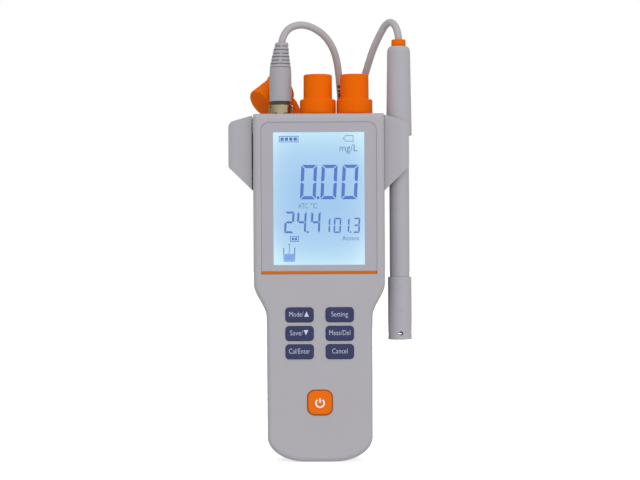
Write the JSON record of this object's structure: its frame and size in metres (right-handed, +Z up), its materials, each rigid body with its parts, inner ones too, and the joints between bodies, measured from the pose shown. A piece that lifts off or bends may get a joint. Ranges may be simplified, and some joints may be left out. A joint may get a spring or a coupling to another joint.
{
  "type": "water quality probe",
  "caption": "Handheld water quality meter with a lit display and keypad, side clips, sealed connectors and a corded dissolved-oxygen probe in its holder.",
  "frame": {"origin": "middle of the hand grip, where a hand holds the meter upright, 50 mm above the base of the case", "axes": "+Z up the case from the grip to the connectors, +X to the right seen from the front, +Y to the back; the keys and display face -Y"},
  "size_m": [0.1129, 0.0501, 0.2715],
  "materials": {
    "grey_abs": "fine moulded satin",
    "bezel_grey": "smooth satin film",
    "orange_rubber": "soft matt",
    "orange_plastic": "satin",
    "navy_rubber": "satin",
    "black_rubber": "matt",
    "black_plastic": "satin",
    "clear_plastic": "polished",
    "lcd": "lit from behind",
    "white_diffuser": "translucent",
    "circuit_board": "solder mask",
    "nickel": "satin nickel plate",
    "steel": "turned",
    "cell_jacket": "printed film over the can",
    "grey_pvc": "soft satin"
  },
  "bodies": {
    "root": {"accent_strip": "orange_plastic", "backlight": "white_diffuser", "battery_cell_left": "cell_jacket", "battery_cell_middle": "cell_jacket", "battery_cell_right": "cell_jacket", "battery_tray": "grey_abs", "case_gasket": "black_rubber", "case_screw_lower_left": "steel", "case_screw_lower_right": "steel", "case_screw_upper_left": "steel", "case_screw_upper_right": "steel", "connector_panel": "grey_abs", "contact_plate_low": "nickel", "contact_plate_top": "nickel", "cord_hank": "grey_pvc", "cord_plug_side": "grey_pvc", "display_bezel": "bezel_grey", "display_lens": "clear_plastic", "foot_left_lower": "black_rubber", "foot_left_upper": "black_rubber", "foot_right_lower": "black_rubber", "foot_right_upper": "black_rubber", "front_shell": "grey_abs", "hank_tie": "black_rubber", "key_mat": "black_rubber", "lcd_glass": "lcd", "main_board": "circuit_board", "plug_body": "grey_pvc", "plug_boot": "grey_pvc", "plug_pin": "nickel", "plug_socket": "nickel", "probe_holder_left": "grey_abs", "probe_holder_right": "grey_abs", "rear_shell": "grey_abs", "socket_middle": "black_plastic", "socket_right": "black_plastic"},
    "mode_key": {"key_mode": "navy_rubber"},
    "setting_key": {"key_setting": "navy_rubber"},
    "save_key": {"key_save": "navy_rubber"},
    "measure_key": {"key_measure": "navy_rubber"},
    "calibrate_key": {"key_calibrate": "navy_rubber"},
    "cancel_key": {"key_cancel": "navy_rubber"},
    "power_key": {"key_power": "orange_plastic"},
    "plug_lock": {"plug_nut": "nickel"},
    "middle_cap": {"cap_middle": "orange_rubber"},
    "right_cap": {"cap_right": "orange_rubber"},
    "open_cap": {"cap_left": "orange_rubber", "cap_left_strap": "orange_rubber"},
    "probe": {"probe_handle": "grey_abs", "probe_shaft": "grey_abs", "cord_collar": "orange_rubber", "sensor_core": "black_plastic", "temperature_sensor": "steel", "sensor_seal": "black_rubber", "cord_probe_side": "grey_pvc"},
    "guard": {"sensor_guard": "grey_abs"},
    "membrane": {"membrane_cap": "black_plastic"},
    "door": {"battery_door": "grey_abs"},
    "door_screw_body": {"door_screw": "steel"}
  },
  "joints": [
    {"name": "mode_press", "type": "slide", "parent": "root", "child": "mode_key", "axis": [0, 1, 0], "range_m": [0, 0.0008], "stiffness_N_per_m": 400, "springref_m": -0.0006},
    {"name": "setting_press", "type": "slide", "parent": "root", "child": "setting_key", "axis": [0, 1, 0], "range_m": [0, 0.0008], "stiffness_N_per_m": 400, "springref_m": -0.0006},
    {"name": "save_press", "type": "slide", "parent": "root", "child": "save_key", "axis": [0, 1, 0], "range_m": [0, 0.0008], "stiffness_N_per_m": 400, "springref_m": -0.0006},
    {"name": "measure_press", "type": "slide", "parent": "root", "child": "measure_key", "axis": [0, 1, 0], "range_m": [0, 0.0008], "stiffness_N_per_m": 400, "springref_m": -0.0006},
    {"name": "calibrate_press", "type": "slide", "parent": "root", "child": "calibrate_key", "axis": [0, 1, 0], "range_m": [0, 0.0008], "stiffness_N_per_m": 400, "springref_m": -0.0006},
    {"name": "cancel_press", "type": "slide", "parent": "root", "child": "cancel_key", "axis": [0, 1, 0], "range_m": [0, 0.0008], "stiffness_N_per_m": 400, "springref_m": -0.0006},
    {"name": "power_press", "type": "slide", "parent": "root", "child": "power_key", "axis": [0, 1, 0], "range_m": [0, 0.0008], "stiffness_N_per_m": 400, "springref_m": -0.0006},
    {"name": "plug_lock_turn", "type": "hinge", "parent": "root", "child": "plug_lock", "pos_m": [-0.0234, 0, 0.166], "axis": [0, 0, 1], "range_deg": [0, 90]},
    {"name": "middle_cap_pull", "type": "slide", "parent": "root", "child": "middle_cap", "axis": [0, 0, 1], "range_m": [0, 0.021]},
    {"name": "right_cap_pull", "type": "slide", "parent": "root", "child": "right_cap", "axis": [0, 0, 1], "range_m": [0, 0.021]},
    {"name": "open_cap_swing", "type": "hinge", "parent": "root", "child": "open_cap", "pos_m": [-0.0138, 0.0116, 0.1622], "axis": [0, 0, -1], "range_deg": [0, 35], "stiffness_Nm_per_rad": 0.003},
    {"name": "probe_lift", "type": "slide", "parent": "root", "child": "probe", "axis": [0, 0, 1], "range_m": [0, 0.05]},
    {"name": "guard_unscrew", "type": "hinge", "parent": "probe", "child": "guard", "pos_m": [0.0496, 0, 0.04], "axis": [0, 0, 1], "continuous": true},
    {"name": "membrane_cap_unscrew", "type": "hinge", "parent": "probe", "child": "membrane", "pos_m": [0.0496, 0, 0.03], "axis": [0, 0, 1], "continuous": true},
    {"name": "battery_door_lift", "type": "slide", "parent": "root", "child": "door", "axis": [0, 1, 0], "range_m": [0, 0.012]},
    {"name": "door_screw_turn", "type": "hinge", "parent": "door", "child": "door_screw_body", "pos_m": [0, 0.0179, 0.0293], "axis": [0, 1, 0], "continuous": true}
  ]
}
